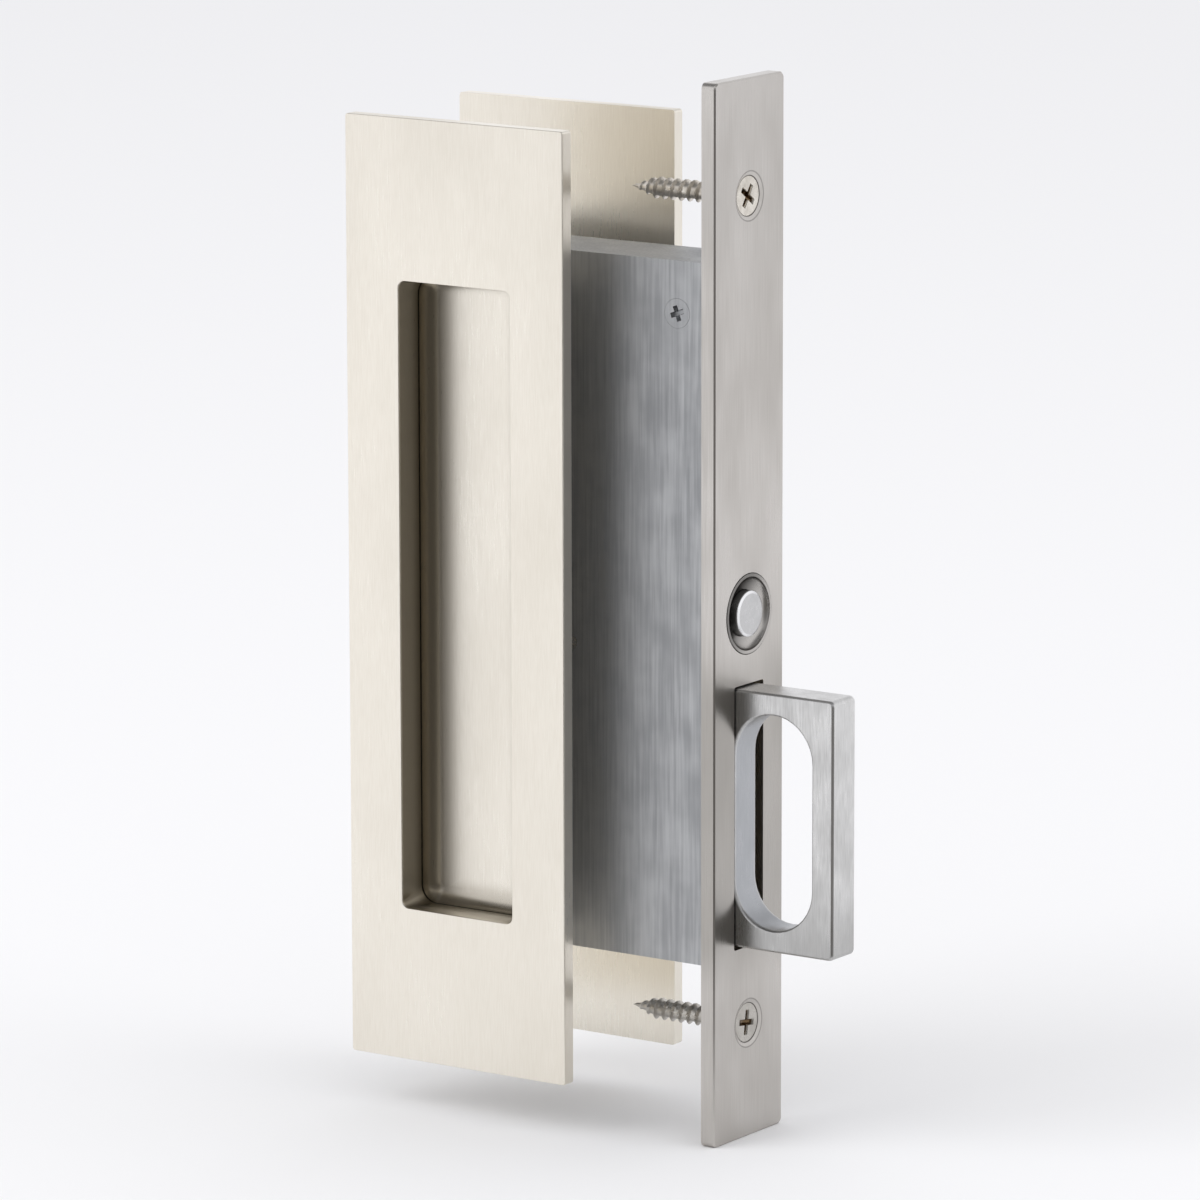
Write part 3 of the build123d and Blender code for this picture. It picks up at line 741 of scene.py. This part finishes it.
# Brown tarnish and painted shade: the recess is painted darker brown by its side walls, its foot and
# beside the seam.
brown_tarnish_and_shade = (0.15, 0.115, 0.062, 1)
groove_shadow = (0.012, 0.009, 0.006, 1)
groove_share = 0.9
groove_fade = (0.00012, 0.00035)
wall_share = 0.48
dish_share = 0.35
foot_share = 0.6
near_share = 0.6
near_fade = (0.0021, 0.0034)
far_fade = (0.0030, 0.0080)
foot_fade = (0.0004, 0.0056)
front_fade = (0.0001, 0.0006)
window_fade = (-0.0004, -0.0001)
seam_fade = (0.0004, -0.0004)
dish_side_fade = (0.003, -0.0008)
nickel_x, nickel_y, nickel_z = nickel_place.axes()
from_side = window_width / 2 - abs(nickel_x - plate_x)
from_foot = nickel_z + (window_height / 2 + window_drop)
from_head = window_height - from_foot
in_window = from_side.ease(*window_fade) * from_foot.ease(*window_fade) * from_head.ease(*window_fade)
above_seam = abs(nickel_y) - seam
by_foot = above_seam.ease(*seam_fade) * (1 - from_foot.ease(*foot_fade))
by_side = 1 - near_share * from_side.ease(*near_fade) - (1 - near_share) * from_side.ease(*far_fade)
by_wall = by_side.larger(foot_share * by_foot)
sunk = (plate_front - abs(nickel_y)).ease(*front_fade)
strength = wall_share + dish_share * above_seam.ease(*dish_side_fade)
tarnished_and_shaded = (in_window * by_wall * sunk * strength).blend(nickel_colour, brown_tarnish_and_shade)
# Painted shadow: a near black line along the seam inside the window.
groove = in_window * (1 - abs(above_seam).ease(*groove_fade))
(groove_share * groove).blend(tarnished_and_shaded, groove_shadow).into(nickel_shader, "Base Color")
outer = (0, plate_half_x, plate_half_z, plate_corner)
window = (-window_drop, window_width / 2, window_height / 2, window_corner)
window_foot = (-window_drop, window_width / 2, window_height / 2, cup_round)
plate_corners = [
    inset_loop(*outer, 0, plate_back),
    inset_loop(*outer, 0, plate_front),
    inset_loop(*outer, flat_border, plate_front),
    inset_loop(*window, -flat_border, plate_front),
    inset_loop(*window, 0, plate_front),
    inset_loop(*window_foot, 0, seam),
    inset_loop(*window, -collar_wall, seam),
    inset_loop(*window, -collar_wall, plate_back),
    inset_loop(*window, -collar_wall - flat_border, plate_back),
    inset_loop(*outer, flat_border, plate_back),
]
plate_rounding = [hair, plate_ease, 0, 0, plate_ease, lip_ease, hair, 0, 0, 0]
plate_profile = rounded_profile(plate_corners, plate_rounding)
for name, node, side in (("front_flush_plate", "front_plate", -1), ("rear_flush_plate", "rear_plate", 1)):
    plate = piece_from_loops(name, [framed_loops(plate_profile, side)], nickel, closed=True)
    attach(plate, "lock")
    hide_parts(node)

# Cups: dishes pressed from brass sheet and brazed to the collars, with the plates' finish.
# Each dish has a flange against its collar, and its floor turns up to the wall in an even round.
cup_sheet = 0.00085
bend_reach = 0.0030
bend_depth = 0.0027
cup_back = -node_box("front_cup")[1][1]
cup_floor = cup_back + cup_sheet
bend_points = 16
bend = np.linspace(0, np.pi / 2, bend_points)
lip_turn = 0.3 * lip_ease
lip_run = 0.02 * lip_ease


def dish_loops(reach, depth, inset, floor):
    """The dish's bend as profile rows: a quarter ellipse from the wall's foot to the floor."""
    return [
        inset_loop(
            *window_foot,
            inset + reach * (1 - math.cos(angle)),
            floor + depth * (1 - math.sin(angle)),
        )
        for angle in bend
    ]


inner_bend = dish_loops(bend_reach, bend_depth, 0, cup_floor)
outer_bend = dish_loops(bend_reach + cup_sheet, bend_depth + cup_sheet, -cup_sheet, cup_back)
cup_profile = np.array(
    [
        *inner_bend[::-1],
        inset_loop(*window_foot, 0, seam - lip_ease),
        inset_loop(*window_foot, -lip_turn, seam - lip_turn),
        inset_loop(*window_foot, -lip_ease, seam - lip_run),
        inset_loop(*window, -collar_wall, seam),
        inset_loop(*window, -collar_wall, seam - cup_sheet),
        inset_loop(*window_foot, -cup_sheet, seam - cup_sheet),
        *outer_bend,
    ]
)
for name, node, side in (("front_dish", "front_cup", -1), ("rear_dish", "rear_cup", 1)):
    dish = piece_from_loops(name, [framed_loops(cup_profile, side)], nickel)
    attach(dish, "lock")
    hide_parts(node)

# Edge pull: an investment casting in stainless steel, linished on its flat faces.
# The finger hole is tumbled smooth with a rounded rim, and the outer edges have a fine bevel. Its tail
# end is socketed in the carriage. Painted shade darkens the pull towards its foot and in the finger hole.
cast_steel, cast_shader, cast_place, cast_colour = satin_metal(
    "cast_steel",
    dark=(0.55, 0.548, 0.54),
    pale=(0.72, 0.717, 0.71),
    gloss=(0.26, 0.36),
    hairs=(4200, 4200, 260),
    clouds=(260, 260, 140),
    cloud_share=0.45,
    depth=0.000006,
)
pull_low, pull_high = node_box("edge_pull")
pull_middle = (pull_low + pull_high) / 2
pull_half = (pull_high - pull_low) / 2
finger_width = 0.0173
finger_height = 0.0415
finger_rim = 0.00495
finger_ease = 0.0009
pull_bevel = 0.00042
bevel_ease = 0.00028
pull_corner = 0.0012
finger_x = pull_high[0] - finger_rim - finger_width / 2
# Painted shade: the pull is painted darker towards its lower end.
painted_foot_shade = (0.40, 0.398, 0.39, 1)
foot_shade_share = 0.6
# Painted shade: the finger hole's wall is painted a darker bluish grey.
painted_hole_shade = (0.37, 0.385, 0.41, 1)
hole_shade_share = 0.8
foot_shade_fade = (0.014, 0.002)
face_fade = (0.0003, 0.0010)
nose_fade = (0.003, 0.004)
end_fade = (0.002, 0.003)
cast_x, cast_y, cast_z = cast_place.axes()
below_face = pull_half[1] - abs(cast_y - pull_middle[1])
behind_nose = pull_high[0] - cast_x
from_end = pull_half[2] - abs(cast_z - pull_middle[2])
in_hole = below_face.ease(*face_fade) * behind_nose.ease(*nose_fade) * from_end.ease(*end_fade)
near_foot = (cast_z - pull_low[2]).ease(*foot_shade_fade)
foot_shaded = (foot_shade_share * near_foot).blend(cast_colour, painted_foot_shade)
(hole_shade_share * in_hole).blend(foot_shaded, painted_hole_shade).into(cast_shader, "Base Color")


def pull_row(hole, inset, level):
    """One row of the pull's profile, moved in from the finger hole or from the outside."""
    if hole:
        half_x, half_z = finger_width / 2 - inset, finger_height / 2 - inset
        return (finger_x, pull_middle[2], half_x, half_z, half_x - hair, level)
    half_x, half_z = pull_half[0] - inset, pull_half[2] - inset
    return (pull_middle[0], pull_middle[2], half_x, half_z, pull_corner - inset, level)


pull_corners = [
    pull_row(True, 0, pull_high[1]),
    pull_row(True, 0, pull_low[1]),
    pull_row(True, -2 * finger_ease, pull_low[1]),
    pull_row(False, 2 * pull_bevel, pull_low[1]),
    pull_row(False, pull_bevel, pull_low[1]),
    pull_row(False, 0, pull_low[1] + pull_bevel),
    pull_row(False, 0, pull_high[1] - pull_bevel),
    pull_row(False, pull_bevel, pull_high[1]),
    pull_row(False, 2 * pull_bevel, pull_high[1]),
    pull_row(True, -2 * finger_ease, pull_high[1]),
]
pull_rounding = [finger_ease, finger_ease, 0, 0, *([bevel_ease] * 4), 0, 0]
pull = piece_from_loops(
    "finger_pull",
    [framed_loops(rounded_profile(pull_corners, pull_rounding), 1)],
    cast_steel,
    closed=True,
)
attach(pull, "pull")
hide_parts("edge_pull")

# Floor: a plain pale sweep under the lock, which rests on the faceplate's lower end.
# The side towards the camera is dark, but only in the metal's reflections.
floor_reach = 8.0
floor_mesh = bpy.data.meshes.new("floor")
floor_corners = np.array([(-1, -1), (1, -1), (1, 1), (-1, 1)]) * floor_reach
floor_mesh.from_pydata(
    np.column_stack([floor_corners, np.full(4, cad_box[0][2])]).tolist(), [], [(0, 1, 2, 3)]
)
floor = bpy.data.objects.new("floor", floor_mesh)
bpy.context.scene.collection.objects.link(floor)
dark_side = (0.5524, -0.8113, -0.1914)
dark_side_fade = (0.58, 0.82)


def shadow_side(place):
    """A mask of the room's dark side: the directions within about 50 degrees of one direction."""
    direction = place.node("ShaderNodeVectorMath", {"operation": "NORMALIZE"}, {0: place})
    both = {0: direction, 1: dark_side}
    facing = place.node("ShaderNodeVectorMath", {"operation": "DOT_PRODUCT"}, both, 1)
    return facing.ease(*dark_side_fade)


floor_paint = bpy.data.materials.new("floor_paint")
floor_paint.use_nodes = True
floor_shader = floor_paint.node_tree.nodes["Principled BSDF"]
floor_shader.inputs["Roughness"].default_value = 0.9
floor_shader.inputs["Specular IOR Level"].default_value = 0
pale_floor = (0.90, 0.90, 0.905, 1)
dark_floor = (0.16, 0.155, 0.145, 1)
floor_place = surface_place(floor_paint.node_tree)
mirrored = floor_place.node("ShaderNodeLightPath", {}, {}, "Is Glossy Ray")
(shadow_side(floor_place) * mirrored).blend(pale_floor, dark_floor).into(floor_shader, "Base Color")
floor_mesh.materials.append(floor_paint)

# Camera: a long lens about 1.5 m away, facing the corner between the near flush plate and the faceplate.
# It looks a little down, and a slight roll stands the faceplate upright in the frame.
camera_place = (0.78609, -1.20017, 0.28202)
camera_aim = (-0.03097, 0.0, -0.00106)
camera_roll = math.radians(-0.116)
camera = bpy.data.objects.new("camera", bpy.data.cameras.new("camera"))
camera.data.lens = 232.5
camera.data.sensor_width = 36
camera.location = camera_place
sight = Vector(camera_aim) - Vector(camera_place)
camera.rotation_euler = (
    sight.to_track_quat("-Z", "Y") @ Matrix.Rotation(camera_roll, 3, "Z").to_quaternion()
).to_euler()
bpy.context.scene.collection.objects.link(camera)
bpy.context.scene.camera = camera

# Light: a pale even room, a broad key from the front left and a weaker one from the right.
# In reflections the ceiling and the side towards the camera are dark, which draws the metal's edges.
world = bpy.data.worlds.new("studio")
world.use_nodes = True
bpy.context.scene.world = world
room = world.node_tree.nodes["Background"]
room.inputs["Color"].default_value = (0.98, 0.98, 1.0, 1)
outward = surface_place(world.node_tree, "Generated")
seen = outward.node("ShaderNodeLightPath", {}, {}, "Is Camera Ray")
reflected = outward.node("ShaderNodeLightPath", {}, {}, "Is Glossy Ray")
ceiling_fade = (0.5, 0.8)
ceiling = outward.axes()[2].ease(*ceiling_fade)
room_light = 0.93
dimmed = 0.75
mirror_light = (1 - dimmed * shadow_side(outward)) * (1 - dimmed * ceiling)
(room_light + seen * (1 - room_light) + reflected * (mirror_light - room_light)).into(room, "Strength")


def soft_lamp(name, place, width, power):
    """A square soft lamp at a place, turned to the lock."""
    lamp = bpy.data.objects.new(name, bpy.data.lights.new(name, "AREA"))
    lamp.data.size = width
    lamp.data.energy = power
    lamp.location = place
    lamp.rotation_euler = (-Vector(place)).to_track_quat("-Z", "Y").to_euler()
    lamp.visible_glossy = False
    bpy.context.scene.collection.objects.link(lamp)


soft_lamp("key", place=(-0.9, -1.3, 1.3), width=1.2, power=9)
soft_lamp("fill", place=(1.5, 0.4, 0.9), width=1.2, power=4)

bpy.context.scene.view_settings.view_transform = "Standard"
